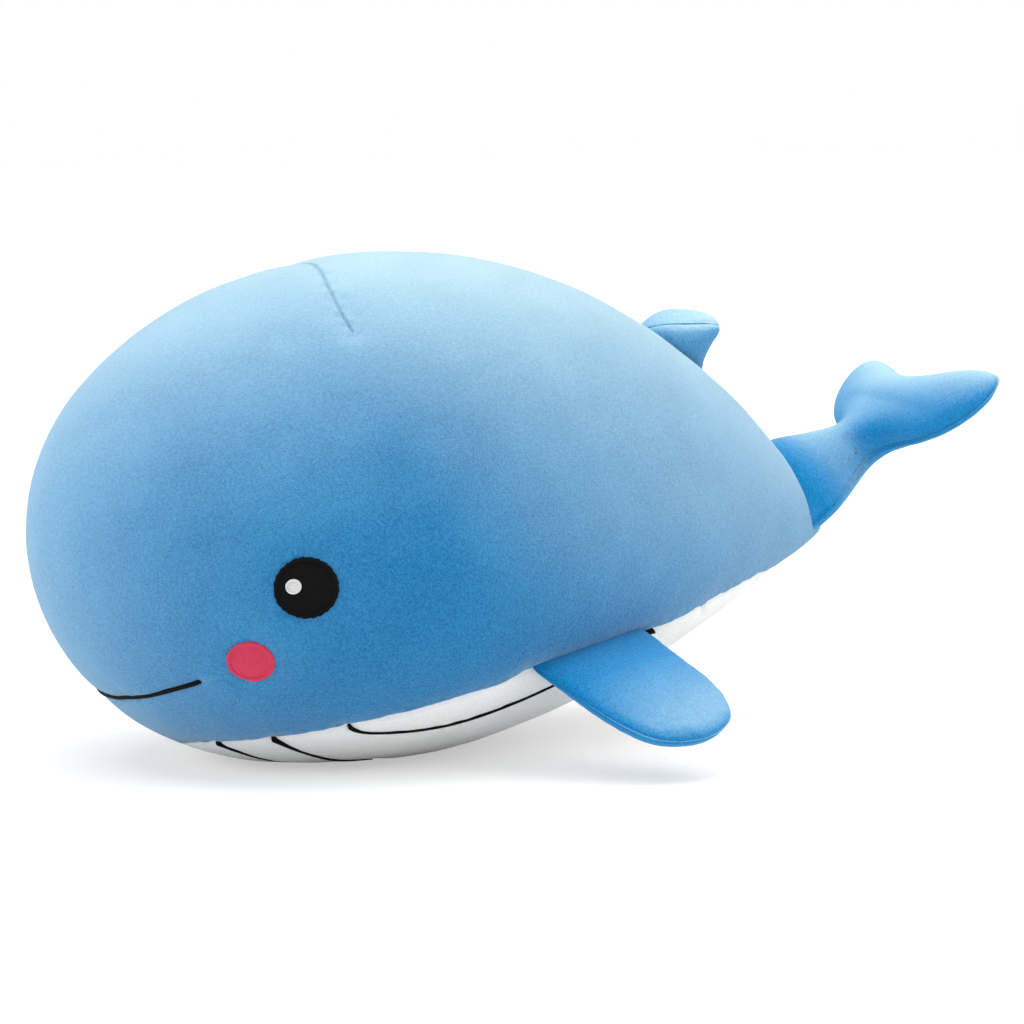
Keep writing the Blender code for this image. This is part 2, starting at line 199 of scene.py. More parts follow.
def plushMaterial(name, colours):
    paint = Paint(name)
    place = paint.place()
    bent = place + paint.noise(place, plushLook["bendSize"], 1.0) * plushLook["bendReach"]
    tufts = {"Vector": bent, "Scale": plushLook["pileSize"]}
    pile = 1 - paint.add("ShaderNodeTexVoronoi", {"feature": "F1"}, tufts)
    clump = paint.noise(bent, plushLook["clumpSize"], 3.0, 0.55)
    brushed = paint.noise(place, plushLook["brushSize"], 2.0, 0.5)
    layers = {"pile": pile, "clump": clump, "brush": brushed}
    shares = plushLook["grain"].items()
    fine, middle, broad = (paint.ramp(layers[name], low, high) * share for name, (low, high, share) in shares)
    grain = fine + middle + broad
    facing = paint.add("ShaderNodeTexCoord", output=1)
    ahead, upward = (paint.add("ShaderNodeSeparateXYZ", values={0: facing}, output=axis) for axis in (0, 2))
    # Painted light: the colour pales where the piece faces up (painted top light) or towards its ends (painted
    # side light), scaled down near a limb's root (painted shade under the body), plus a painted-light share
    # stored per vertex.
    nap = paint.add("ShaderNodeAttribute", {"attribute_name": "nap"}, output=2)
    paintedLight = paint.add("ShaderNodeAttribute", {"attribute_name": "paintedLight"}, output=2)
    crown = paint.ramp(upward + brushed * plushLook["brushReach"], 0.0, plushLook["paintedTopLightFull"])
    paintedLightMix = crown * crown * nap * plushLook["paintedTopLightShare"] + ahead * ahead * colours["paintedEndLight"] + paintedLight
    colour = paint.between(colours["deep"], colours["pale"], grain)
    low, high = ([part * share for part in colours["crown"]] for share in plushLook["paintedTopLightGrain"])
    colour = paint.between(colour, paint.between(low, high, grain), paintedLightMix)
    relief = paint.bump(clump, plushLook["clumpHeight"], 0.8)
    relief = paint.bump(pile, plushLook["pileHeight"], 0.9, relief)
    return paint.finish(
        Base_Color=colour,
        Roughness=0.95,
        Specular_IOR_Level=0.05,
        Sheen_Weight=colours["sheenWeight"],
        Sheen_Roughness=plushLook["sheenRoughness"],
        Sheen_Tint=colours["sheen"],
        Normal=relief,
    )


# Embroidery thread: U runs across the threads, in millimetres.
threadLook = {
    "black": {"dark": (0.001, 0.001, 0.0015), "light": (0.005, 0.005, 0.006), "sheenWeight": 0.0},
    "white": {"dark": (0.46, 0.47, 0.49), "light": (0.78, 0.78, 0.78), "sheenWeight": 0.05},
    "pink": {"dark": (0.44, 0.028, 0.066), "light": (0.66, 0.056, 0.115), "sheenWeight": 0.05},
    "pitch": 0.62,
    "slant": 0.12,
    "wander": 0.5,
    "wanderSize": 500.0,
    "fuzz": 0.5,
    "fuzzSize": 1500.0,
    "height": 0.00018,
}


def threadMaterial(name, colours):
    paint = Paint(name)
    flat = paint.add("ShaderNodeTexCoord", output=2)
    across, along = (paint.add("ShaderNodeSeparateXYZ", values={0: flat}, output=axis) for axis in (0, 1))
    wander = paint.noise(paint.place(), threadLook["wanderSize"])
    leaning = across + along * threadLook["slant"] + wander * threadLook["wander"]
    ridge = paint.sine(leaning * (2 * math.pi / threadLook["pitch"])) * 0.5 + 0.5
    fuzz = paint.noise(paint.place(), threadLook["fuzzSize"]) * threadLook["fuzz"]
    colour = paint.between(colours["dark"], colours["light"], ridge * 0.6 + fuzz)
    return paint.finish(
        Base_Color=colour,
        Roughness=0.62,
        Specular_IOR_Level=0.06,
        Sheen_Weight=colours["sheenWeight"],
        Sheen_Roughness=0.4,
        Normal=paint.bump(ridge + fuzz, threadLook["height"]),
    )


print("materials")
bluePlush = plushMaterial("bluePlush", plushLook["blue"])
limbPlush = plushMaterial("limbBluePlush", plushLook["limbBlue"])
whitePlush = plushMaterial("whitePlush", plushLook["white"])
blackThread = threadMaterial("blackThread", threadLook["black"])
whiteThread = threadMaterial("whiteThread", threadLook["white"])
pinkThread = threadMaterial("pinkThread", threadLook["pink"])


# Body form: the solid's egg, a little lower over the rear back. The place along the body runs from -1 at the
# tail to 1 at the nose, and the shares are those of its powers.
bodyForm = {
    "halfLength": 0.187,
    "halfWidth": 0.106,
    "crown": 0.120,
    "belly": 0.089,
    "middleX": -0.054,
    "noseLift": 0.0075,
    "axisHeight": 0.09054,
    "widthShares": (1, 0.32, -0.19, 0.11),
    "crownShares": (1, 0.14, -0.18, 0.115, -0.06, 0.06),
    "bellyShares": (1, 0.535, -0.18, 0.095, 0.03),
    "floorSoftness": 0.0012,
    "floorHeight": 0.0003,
}


def shareSum(shares, along):
    return sum(share * along**power for power, share in enumerate(shares))


def bodyAt(along, unitY, unitZ, lift=0.0):
    along, unitY, unitZ = np.broadcast_arrays(*np.atleast_1d(along, unitY, unitZ))
    wide = bodyForm["halfWidth"] * shareSum(bodyForm["widthShares"], along) + lift
    high = bodyForm["crown"] * shareSum(bodyForm["crownShares"], along) + lift
    deep = bodyForm["belly"] * shareSum(bodyForm["bellyShares"], along) + lift
    x = bodyForm["middleX"] + (bodyForm["halfLength"] + lift) * along
    z = np.where(unitZ > 0, high, deep) * unitZ + bodyForm["axisHeight"] + bodyForm["noseLift"] * along
    soft = bodyForm["floorSoftness"]
    level = bodyForm["floorHeight"] - lift
    return np.column_stack([x, wide * unitY, level + soft * np.logaddexp(0, (z - level) / soft)])


def bodyAcross(along, across, upper, lift=0.0):
    along, across = np.atleast_1d(along, across)
    unitY = across / shareSum(bodyForm["widthShares"], along)
    unitZ = np.sqrt(np.maximum(0, 1 - along**2 - unitY**2))
    return bodyAt(along, unitY, unitZ if upper else -unitZ, lift)


def bodyBeside(along, height, side, lift=0.0):
    above = height - bodyForm["axisHeight"] - bodyForm["noseLift"] * along
    form = ("crown", "crownShares") if above > 0 else ("belly", "bellyShares")
    unitZ = above / (bodyForm[form[0]] * shareSum(bodyForm[form[1]], along))
    return Vector(bodyAt(along, side * math.sqrt(1 - along**2 - unitZ**2), unitZ, lift)[0])


def smoothLine(points, count, closed=False):
    # Evenly stepped points on a smooth curve through the given ones.
    points = np.array(points, float)
    size = len(points)
    spans = size if closed else size - 1
    place = np.linspace(0, spans, 24 * spans + 1)
    step = np.minimum(place.astype(int), spans - 1)
    part = (place - step)[:, None]

    def knot(index):
        return points[index % size] if closed else points[np.clip(index, 0, size - 1)]

    a, b, c, d = knot(step - 1), knot(step), knot(step + 1), knot(step + 2)
    bend, twist = 2 * a - 5 * b + 4 * c - d, 3 * b - a - 3 * c + d
    dense = 0.5 * (2 * b + (c - a) * part + bend * part**2 + twist * part**3)
    run = np.concatenate([[0], np.cumsum(np.linalg.norm(np.diff(dense, axis=0), axis=1))])
    even = np.linspace(0, run[-1], count + 1 if closed else count)
    line = np.column_stack([np.interp(even, run, dense[:, axis]) for axis in range(dense.shape[1])])
    return line[:-1] if closed else line


def nearLine(points, line, reach):
    # Indices of the points that lie within reach of a line, and their distances to it, block by block.
    blockSize = 4000
    line = np.asarray(line)
    inBox = np.all((points > line.min(axis=0) - reach) & (points < line.max(axis=0) + reach), axis=1)
    index = np.where(inBox)[0]
    gap = np.empty(len(index))
    for start in range(0, len(index), blockSize):
        block = points[index[start : start + blockSize]]
        squares = ((block[:, None, :] - line[None, :, :]) ** 2).sum(axis=2)
        gap[start : start + blockSize] = np.sqrt(squares.min(axis=1))
    close = gap < reach
    return index[close], gap[close]


def waver(points, scale, seed):
    shift = Vector((seed, seed * 1.7, -seed))
    return np.array([noise.noise(Vector(place) * scale + shift) for place in points])


def meshObject(name, points, faces, material):
    mesh = bpy.data.meshes.new(name)
    mesh.from_pydata([tuple(place) for place in points], [], faces)
    mesh.polygons.foreach_set("use_smooth", [True] * len(mesh.polygons))
    mesh.materials.append(material)
    mesh.update()
    made = bpy.data.objects.new(name, mesh)
    bpy.context.scene.collection.objects.link(made)
    return made


def gridFaces(rows, columns, flip=False):
    faces = []
    for row in range(rows - 1):
        for column in range(columns - 1):
            first = row * columns + column
            quad = [first, first + 1, first + columns + 1, first + columns]
            faces.append(quad[::-1] if flip else quad)
    return faces


def meshPoints(obj):
    points = np.empty(len(obj.data.vertices) * 3)
    obj.data.vertices.foreach_get("co", points)
    return points.reshape(-1, 3)


def setPoints(obj, points):
    obj.data.vertices.foreach_set("co", np.asarray(points, np.float32).ravel())
    obj.data.update()


def meshNormals(obj):
    normals = np.empty(len(obj.data.vertices) * 3)
    obj.data.vertex_normals.foreach_get("vector", normals)
    return normals.reshape(-1, 3)


def between(value, table):
    rows = np.array(table)
    return np.interp(value, rows[:, 0], rows[:, 1])


def setShare(obj, name, values):
    layer = obj.data.attributes.new(name, "FLOAT", "POINT")
    layer.data.foreach_set("value", np.broadcast_to(values, len(obj.data.vertices)).astype(np.float32))


def weld(obj, distance=0.00001):
    shape = bmesh.new()
    shape.from_mesh(obj.data)
    bmesh.ops.remove_doubles(shape, verts=shape.verts, dist=distance)
    shape.to_mesh(obj.data)
    shape.free()
    obj.data.update()


def addUv(obj, acrossThread, alongThread):
    layer = obj.data.uv_layers.new(name="UVMap")
    loops = np.empty(len(obj.data.loops), int)
    obj.data.loops.foreach_get("vertex_index", loops)
    layer.data.foreach_set("uv", np.column_stack([acrossThread, alongThread])[loops].astype(np.float32).ravel())


# Skin of the body: the side seam runs between a blue back and a white belly. The seam is given as places along
# the body and heights, the dart as places along and across it.
bodySkin = {
    "rings": 330,
    "backColumns": 300,
    "bellyColumns": 220,
    "seam": (
        (1.04, 0.0010),
        (0.706, 0.0030),
        (0.690, 0.0080),
        (0.668, 0.0115),
        (0.631, 0.0139),
        (0.578, 0.0158),
        (0.532, 0.0180),
        (0.4385, 0.0224),
        (0.342, 0.0267),
        (0.257, 0.0308),
        (0.166, 0.0350),
        (0.086, 0.0388),
        (0.011, 0.0424),
        (-0.144, 0.0476),
        (-0.305, 0.0520),
        (-0.417, 0.0562),
        (-0.485, 0.0591),
        (-0.497, 0.0578),
        (-0.509, 0.0602),
        (-0.583, 0.0632),
        (-0.70, 0.0668),
        (-0.78, 0.0671),
        (-0.86, 0.0680),
        (-1.10, 0.0705),
    ),
    "dart": ((0.405, 0.60), (0.405, 0.49), (0.39, 0.33), (0.365, 0.16), (0.35, 0.0)),
    "lumps": 0.0005,
    "lumpSizes": ((26.0, 3.1, 1.0), (60.0, 8.2, 0.5)),
    "hem": 0.0022,
    "hemOpening": 0.02,
    "endSteps": (0.0002, 8),
    # How much painted light pales the body along its length, on its flanks and over its crown, standing in for
    # the side and top lamps.
    "paintedLightLength": ((-1.0, 0.24), (-0.52, 0.24), (-0.24, 0.23), (0.0, 0.16), (0.12, 0.09), (0.28, 0.0)),
    "paintedLightHeight": ((0.055, 0.0), (0.105, 1.0)),
    "paintedLightCrown": ((0.150, 0.0), (0.205, 0.08)),
    "paintedLightLean": 2.2,
}
seamTable = np.array(bodySkin["seam"])[::-1]
seamLine = smoothLine(seamTable, 400)


def seamAngle(turn):
    # Angle round the ring at which the side seam crosses it, and -90 degrees where it doesn't.
    along = np.cos(turn)
    height = np.interp(along, seamLine[:, 0], seamLine[:, 1])
    above = height - bodyForm["axisHeight"] - bodyForm["noseLift"] * along
    crown = bodyForm["crown"] * shareSum(bodyForm["crownShares"], along)
    belly = bodyForm["belly"] * shareSum(bodyForm["bellyShares"], along)
    reach = np.maximum(np.sin(turn), 1e-9) * np.where(above > 0, crown, belly)
    return np.arcsin(np.clip(above / reach, -1, 1))


def seamTurns():
    # Where the seam starts under the chin and ends under the tail, as turns from the nose.
    turns = np.linspace(0.02, math.pi - 0.02, 60000)
    inside = turns[seamAngle(turns) > -math.pi / 2 + 1e-6]
    return inside[0], inside[-1]


seamStart, seamEnd = seamTurns()


def ringTurns(low, high, count):
    # Even rings from nose to tail, with closer ones where the seam starts and ends.
    step, steps = bodySkin["endSteps"]
    near = step * np.arange(steps + 1) ** 2
    even = np.linspace(0, math.pi, count)
    turns = np.unique(np.round(np.concatenate([even, low + near, high - near]), 7))
    return turns[(turns >= 0) & (turns <= math.pi)]


def seamPath(side):
    turns = np.linspace(seamStart, seamEnd, 700)
    angle = seamAngle(turns)
    return bodyAt(np.cos(turns), side * np.sin(turns) * np.cos(angle), np.sin(turns) * np.sin(angle))


# Where the flippers and the stitching sit: places along the body with heights, or for lines with places across.
flipperPlace = {"front": (0.043, 0.0426), "rear": (-0.262, 0.0524)}
faceLines = {
    "mouth": ((0.847, 0.0), (0.847, 0.10), (0.844, 0.19), (0.824, 0.34), (0.799, 0.459), (0.766, 0.567)),
    "outer": (
        (0.44, 0.671),
        (0.42, 0.659),
        (0.389, 0.6535),
        (0.3345, 0.6593),
        (0.265, 0.6680),
        (0.1935, 0.6800),
        (0.1238, 0.7007),
        (0.0552, 0.7226),
        (-0.026, 0.7421),
        (-0.1237, 0.7531),
        (-0.22, 0.750),
        (-0.303, 0.715),
        (-0.33, 0.692),
    ),
    "middle": (
        (0.578, 0.486),
        (0.553, 0.477),
        (0.526, 0.463),
        (0.483, 0.438),
        (0.439, 0.405),
        (0.39, 0.365),
        (0.34, 0.335),
        (0.28, 0.32),
    ),
    "inner": ((0.660, 0.275), (0.635, 0.276), (0.598, 0.270), (0.555, 0.252), (0.50, 0.237), (0.45, 0.23)),
    "mouthSkew": 0.016,
}
facePlaces = {"eye": (0.604, 0.0854), "highlight": (0.628, 0.0864), "cheek": (0.691, 0.0541)}
faceSizes = {"eye": 0.0127, "highlight": 0.0031, "cheek": 0.0096}


def surfaceLine(shares, side, upper, count):
    line = smoothLine(shares, count)
    return bodyAcross(line[:, 0], side * line[:, 1], upper)


def mouthPath():
    half = np.array(faceLines["mouth"])
    far = half * (1, -1) - np.outer(np.minimum(half[:, 1] / 0.2, 1), (faceLines["mouthSkew"], 0))
    whole = np.concatenate([half[:0:-1], far])
    line = smoothLine(whole, 320)
    return bodyAcross(line[:, 0], line[:, 1], False)


def dartPath():
    half = np.array(bodySkin["dart"])
    whole = np.concatenate([half, half[-2::-1] * (1, -1)])
    line = smoothLine(whole, 320)
    return bodyAcross(line[:, 0], line[:, 1], True)


# Each crease is a sharp valley in a broad one, both as depth and width, with small puckers of a given height.
creaseLook = {
    "dart": ((0.0011, 0.0006), (0.0010, 0.0070), 0.0002),
    "mouth": ((0.0006, 0.0018), (0.0006, 0.006), 0.0),
    "seam": ((0.0011, 0.0013), (0.0009, 0.006), 0.0003),
    "root": ((0.0010, 0.003), (0.0012, 0.008), 0.0002),
    "line": ((0.0006, 0.0015), (0.0005, 0.005), 0.0),
    "round": ((0.0006, 0.0012), (0.0007, 0.006), 0.00025),
    "reach": 0.018,
    "tug": 0.5,
    "tugSize": 190.0,
    "puckerSize": 300.0,
    "puckerReach": 0.006,
    "refineReach": (0.006, 0.0028),
    "refineLimit": 0.0004,
}


def addCrease(relief, points, line, kind, seed):
    (depth, width), (broadDepth, broadWidth), pucker = creaseLook[kind]
    near, gap = nearLine(points, line, creaseLook["reach"])
    tug = 1 + creaseLook["tug"] * waver(points[near], creaseLook["tugSize"], seed)
    relief[near] -= depth * np.exp(-((gap / width) ** 2))
    relief[near] -= broadDepth * tug * np.exp(-((gap / broadWidth) ** 2))
    if pucker:
        ripples = waver(points[near], creaseLook["puckerSize"], seed + 4.0)
        relief[near] += pucker * ripples * np.exp(-gap / creaseLook["puckerReach"])


def bodyCreases():
    creases = [(dartPath(), "dart"), (mouthPath(), "mouth")]
    for side in (1, -1):
        creases.append((seamPath(side), "seam"))
        root = [np.array(bodyBeside(*flipperPlace[end], side)) for end in ("front", "rear")]
        creases.append((np.linspace(*root, 60), "root"))
        for line in ("outer", "middle", "inner"):
            creases.append((surfaceLine(faceLines[line], side, False, 120), "line"))
        for spot in ("eye", "cheek"):
            creases.append((roundPath(spot, side), "round"))
    return creases


def roundFrame(spot, side):
    # Centre of a stitched round on the body, with its outward, forward and upward directions.
    centre = bodyBeside(*facePlaces[spot], side)
    outward = (bodyBeside(*facePlaces[spot], side, 0.02) - centre).normalized()
    ahead = outward.cross(upDirection).normalized()
    return centre, outward, ahead, ahead.cross(outward).normalized()


def roundPath(spot, side):
    centre, _, ahead, rise = roundFrame(spot, side)
    turns = np.linspace(0, 2 * math.pi, 90)
    rim = [(ahead * math.cos(turn) + rise * math.sin(turn)) * faceSizes[spot] for turn in turns]
    return np.array([centre + place for place in rim])


def bodyNormals(points):
    # Outward directions of the plain form at these points, from its level surfaces.
    def level(place):
        along = (place[:, 0] - bodyForm["middleX"]) / bodyForm["halfLength"]
        above = place[:, 2] - bodyForm["axisHeight"] - bodyForm["noseLift"] * along
        crown = bodyForm["crown"] * shareSum(bodyForm["crownShares"], along)
        belly = bodyForm["belly"] * shareSum(bodyForm["bellyShares"], along)
        wide = bodyForm["halfWidth"] * shareSum(bodyForm["widthShares"], along)
        return along**2 + (place[:, 1] / wide) ** 2 + (above / np.where(above > 0, crown, belly)) ** 2

    step = 0.00001
    steps = [np.eye(3)[axis] * step for axis in range(3)]
    slope = np.column_stack([level(points + shift) - level(points - shift) for shift in steps])
    return slope / np.linalg.norm(slope, axis=1)[:, None]


def refine(skin, lines, reach):
    # Halves the faces that lie near these lines.
    shape = bmesh.new()
    shape.from_mesh(skin.data)
    shape.edges.ensure_lookup_table()
    paintedEndLight = np.array([(*edge.verts[0].co, *edge.verts[1].co) for edge in shape.edges])
    middles = (paintedEndLight[:, :3] + paintedEndLight[:, 3:]) / 2
    long = np.linalg.norm(paintedEndLight[:, :3] - paintedEndLight[:, 3:], axis=1) > creaseLook["refineLimit"]
    chosen = np.zeros(len(middles), bool)
    for line in lines:
        chosen[nearLine(middles, line, reach)[0]] = True
    edges = [shape.edges[index] for index in np.where(chosen & long)[0]]
    bmesh.ops.subdivide_edges(shape, edges=edges, cuts=1, use_grid_fill=True)
    shape.to_mesh(skin.data)
    shape.free()
    skin.data.update()


def skinPiece(name, turns, low, high, span, columns, material):
    # A grid over the rings, cut off at two angles, with a hem turned in where the side seam runs.
    angle = np.clip(np.linspace(*span, columns)[None, :], low[:, None], high[:, None])
    angle = np.column_stack([low, angle, high]).ravel()
    turn = np.repeat(turns, columns + 2)
    points = bodyAt(np.cos(turn), np.sin(turn) * np.cos(angle), np.sin(turn) * np.sin(angle))
    opened = np.clip(np.minimum(turns - seamStart, seamEnd - turns) / bodySkin["hemOpening"], 0, 1)
    tuck = np.zeros((len(turns), columns + 2))
    tuck[:, [0, -1]] = bodySkin["hem"] * opened[:, None]
    points -= bodyNormals(points) * tuck.ravel()[:, None]
    skin = meshObject(name, points, gridFaces(len(turns), columns + 2, True), material)
    weld(skin)
    creases = bodyCreases()
    for reach in creaseLook["refineReach"]:
        refine(skin, [line for line, _ in creases], reach)
    points = meshPoints(skin)
    relief = bodySkin["lumps"] * sum(share * waver(points, *lump) for *lump, share in bodySkin["lumpSizes"])
    for index, (line, kind) in enumerate(creases):
        addCrease(relief, points, line, kind, 1.3 + index)
    points = points + bodyNormals(points) * relief[:, None]
    points[:, 2] = np.maximum(points[:, 2], 0.0)
    setPoints(skin, points)
    # Painted light: the flanks pale towards the rear and higher up, and the crown pales with height, as the
    # side and top lamps would light them.
    along = (points[:, 0] - bodyForm["middleX"]) / bodyForm["halfLength"]
    lean = bodySkin["paintedLightLean"] * (points[:, 2] - bodyForm["axisHeight"])
    paintedFlankLight = between(along - lean, bodySkin["paintedLightLength"]) * between(points[:, 2], bodySkin["paintedLightHeight"])
    setShare(skin, "nap", 1.0)
    setShare(skin, "paintedLight", paintedFlankLight + between(points[:, 2], bodySkin["paintedLightCrown"]))
    return skin


def addBody():
    turns = ringTurns(seamStart, seamEnd, bodySkin["rings"])
    low = seamAngle(turns)
    low[(turns <= seamStart) | (turns >= seamEnd)] = -math.pi / 2
    span = (-math.pi / 2, 1.5 * math.pi)
    back = skinPiece("backSkin", turns, low, math.pi - low, span, bodySkin["backColumns"], bluePlush)
    inside = turns[(turns >= seamStart) & (turns <= seamEnd)]
    high = seamAngle(inside)
    span = (-math.pi - high.max(), high.max())
    belly = skinPiece("bellySkin", inside, -math.pi - high, high, span, bodySkin["bellyColumns"], whitePlush)
    for skin, slot, nodes in (
        (back, "blue_plush", ("back_shell", "body_filling")),
        (belly, "white_plush", ("belly_panel",)),
    ):
        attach(skin, "body")
        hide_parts(*nodes)
    return back, belly


print("body skin")
backSkin, bellySkin = addBody()


def surfaceTree(*skins):
    shape = bmesh.new()
    for skin in skins:
        shape.from_mesh(skin.data)
    tree = BVHTree.FromBMesh(shape)
    shape.free()
    return tree


bodyTree = surfaceTree(backSkin, bellySkin)


def ontoBody(place, outward):
    hit, normal, _, _ = bodyTree.ray_cast(place + outward * 0.03, -outward)
    if hit is None:
        return place, outward
    return hit, normal if normal.dot(outward) > 0 else -normal


# Stitched rounds of the face.
roundLook = {
    "innerRings": 21,
    "borderRings": 13,
    "spokes": 160,
    "fill": 0.00045,
    "border": 0.0019,
    "borderShare": 0.32,
    "borderHeight": 0.00055,
    "tuck": 0.0009,
    "ragged": 0.016,
    "highlightLift": 0.0006,
}


def stitchedRound(name, node, spot, side, material, base=0.0):
    centre, outward, ahead, rise = roundFrame(spot, side)
    radius = faceSizes[spot]
    border = min(roundLook["border"], radius * roundLook["borderShare"])
    inner = radius - border
    spokes = roundLook["spokes"]
    rim = inner + border * np.linspace(0.02, 1, roundLook["borderRings"])
    reach = np.concatenate([np.linspace(0, inner, roundLook["innerRings"]), rim])
    rings = len(reach)
    points, across, run = [], [], []
    for ring, far in enumerate(reach):
        inBorder = far > inner
        share = (far - inner) / border if inBorder else 0
        height = roundLook["fill"]
        if inBorder:
            height += roundLook["borderHeight"] * math.sqrt(max(0, 1 - (2 * share - 1) ** 2))
        if ring == rings - 1:
            height = -roundLook["tuck"]
        for spoke in range(spokes):
            turn = 2 * math.pi * spoke / spokes
            # The last rings are uneven, as the ends of the stitches are.
            ragged = roundLook["ragged"] * ((spoke * 7919) % 13 / 6 - 1) if ring > rings - 4 else 0
            flat = (ahead * math.cos(turn) + rise * math.sin(turn)) * (far * (1 + ragged))
            hit, normal = ontoBody(centre + flat, outward)
            points.append(hit + outward * (height + base))
            across.append(turn * radius * 1000 if inBorder else far * math.sin(turn) * 1000)
            run.append(far * 1000)
    faces = []
    for ring in range(rings - 1):
        for spoke in range(spokes):
            first, other = ring * spokes + spoke, ring * spokes + (spoke + 1) % spokes
            faces.append([first, first + spokes, other + spokes, other])
    piece = meshObject(name, points, faces, material)
    addUv(piece, np.array(across), np.array(run))
    shape = bmesh.new()
    shape.from_mesh(piece.data)
    bmesh.ops.remove_doubles(shape, verts=shape.verts, dist=0.000001)
    bmesh.ops.recalc_face_normals(shape, faces=shape.faces)
    if shape.faces[0].normal.dot(outward) < 0:
        bmesh.ops.reverse_faces(shape, faces=shape.faces)
    shape.to_mesh(piece.data)
    shape.free()
    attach(piece, "body")
    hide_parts(node)
    return piece


print("stitched face")
for sideName, sideSign in (("left", 1), ("right", -1)):
    stitchedRound(f"{sideName}Eye", f"{sideName}_eye", "eye", sideSign, blackThread)
    stitchedRound(
        f"{sideName}EyeHighlight",
        f"{sideName}_eye_highlight",
        "highlight",
        sideSign,
        whiteThread,
        roundLook["highlightLift"],
    )
    stitchedRound(f"{sideName}Cheek", f"{sideName}_cheek", "cheek", sideSign, pinkThread)


# Satin-stitched lines: a low rounded band of threads laid across the line, sunk in a shallow groove.
satinLook = {
    "mouthWidth": 0.0031,
    "bellyWidth": 0.0016,
    "crest": -0.0002,
    "sunk": 0.0026,
    "steps": 260,
    "columns": 15,
    "taper": 0.0012,
    "ripple": 0.05,
    "rippleLength": 0.0008,
}


def satinLine(name, node, path, width):
    path = smoothLine(path, satinLook["steps"])
    ahead = np.gradient(path, axis=0)
    ahead /= np.linalg.norm(ahead, axis=1)[:, None]
    outward = bodyNormals(path)
    beside = np.cross(ahead, outward)
    run = np.concatenate([[0], np.cumsum(np.linalg.norm(np.diff(path, axis=0), axis=1))])
    toEnd = np.clip(np.minimum(run, run[-1] - run) / satinLook["taper"], 0, 1)
    full = np.sqrt(np.clip(1 - (1 - toEnd) ** 2, 0, 1))
    share = np.linspace(-1, 1, satinLook["columns"])
    ripple = 1 + satinLook["ripple"] * np.sin(run * 2 * math.pi / satinLook["rippleLength"])[:, None]
    side = beside[:, None, :] * (share[None, :] * full[:, None] * width / 2 * ripple)[:, :, None]
    rise = satinLook["sunk"] * (np.sqrt(1 - share**2)[None, :] * full[:, None] - 1) + satinLook["crest"]
    points = (path[:, None, :] + side + outward[:, None, :] * rise[:, :, None]).reshape(-1, 3)
    points[:, 2] = np.maximum(points[:, 2], 0.0001)
    piece = meshObject(name, points, gridFaces(len(path), len(share), True), blackThread)
    addUv(piece, np.repeat(run * 1000, len(share)), np.tile(share * width * 500, len(path)))
    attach(piece, "body")
    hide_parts(node)
    return piece


satinLine("mouthLine", "mouth_line", mouthPath(), satinLook["mouthWidth"])
for sideName, sideSign in (("left", 1), ("right", -1)):
    for lineName in ("outer", "middle", "inner"):
        title = lineName.capitalize()
        satinLine(
            f"{sideName}{title}BellyLine",
            f"{sideName}_{lineName}_belly_line",
            surfaceLine(faceLines[lineName], sideSign, False, 150),
            satinLook["bellyWidth"],
        )


# Limbs: two panels sewn along an edge seam round a filling. Their outlines are in shares of a limb's own sizes,
# and the tables give values by the share of its length from the root.
limbLook = {
    "rings": 56,
    "spokes": 300,
    "seamWidth": 0.0011,
    "troughWidth": 0.0035,
    "troughShare": 0.7,
    "pucker": 0.00030,
    "puckerSize": 260.0,
    "puckerReach": 0.007,
    "lumps": 0.0005,
    "lumpSize": 45.0,
    "filmStep": 0.0008,
    "filmSweeps": 500,
    "filmHaste": 1.9,
    "rootShare": 0.12,
    "rimShare": 0.90,
}


def blownFilm(edge):
    # A film blown up over the outline, solved on a grid: wide places rise more than narrow ones.
    step = limbLook["filmStep"]
    low = edge.min(axis=0) - 2 * step
    count = np.ceil((edge.max(axis=0) - low) / step).astype(int) + 3
    x, y = (low[axis] + step * np.arange(count[axis]) for axis in range(2))
    inside = np.zeros(count, bool)
    for first, second in zip(edge, np.roll(edge, -1, axis=0)):
        if first[1] != second[1]:
            crossed = (y >= first[1]) != (y >= second[1])
            border = first[0] + (y - first[1]) * (second[0] - first[0]) / (second[1] - first[1])
            inside ^= (x[:, None] < border[None, :]) & crossed[None, :]
    odd = np.add.outer(np.arange(count[0]), np.arange(count[1])) % 2 == 1
    masks = [(inside & part)[1:-1, 1:-1] for part in (odd, ~odd)]
    film = np.zeros(count)
    for sweep in range(limbLook["filmSweeps"]):
        for mask in masks:
            spread = (film[:-2, 1:-1] + film[2:, 1:-1] + film[1:-1, :-2] + film[1:-1, 2:] + 1) / 4
            film[1:-1, 1:-1] += np.where(mask, limbLook["filmHaste"] * (spread - film[1:-1, 1:-1]), 0)
    # Rows towards the root are measured against their own highest place, so the root keeps its height.
    best = film.max(axis=0)
    rows = np.arange(count[1])
    peak = int(np.argmax(best))
    towardsTip = rows >= peak if edge[:, 1].max() > -edge[:, 1].min() else rows <= peak
    best = np.where(towardsTip, best[peak], np.maximum(best, limbLook["rootShare"] * best[peak]))
    return low, step, film / best[None, :]


def filmHeight(film, places):
    low, step, values = film
    at = (places - low) / step
    cell = np.clip(at.astype(int), 0, np.array(values.shape) - 2)
    part = at - cell
    i, j = cell.T
    u, v = part.T
    lower = values[i, j] * (1 - u) + values[i + 1, j] * u
    upper = values[i, j + 1] * (1 - u) + values[i + 1, j + 1] * u
    return np.clip(lower * (1 - v) + upper * v, 0, None)


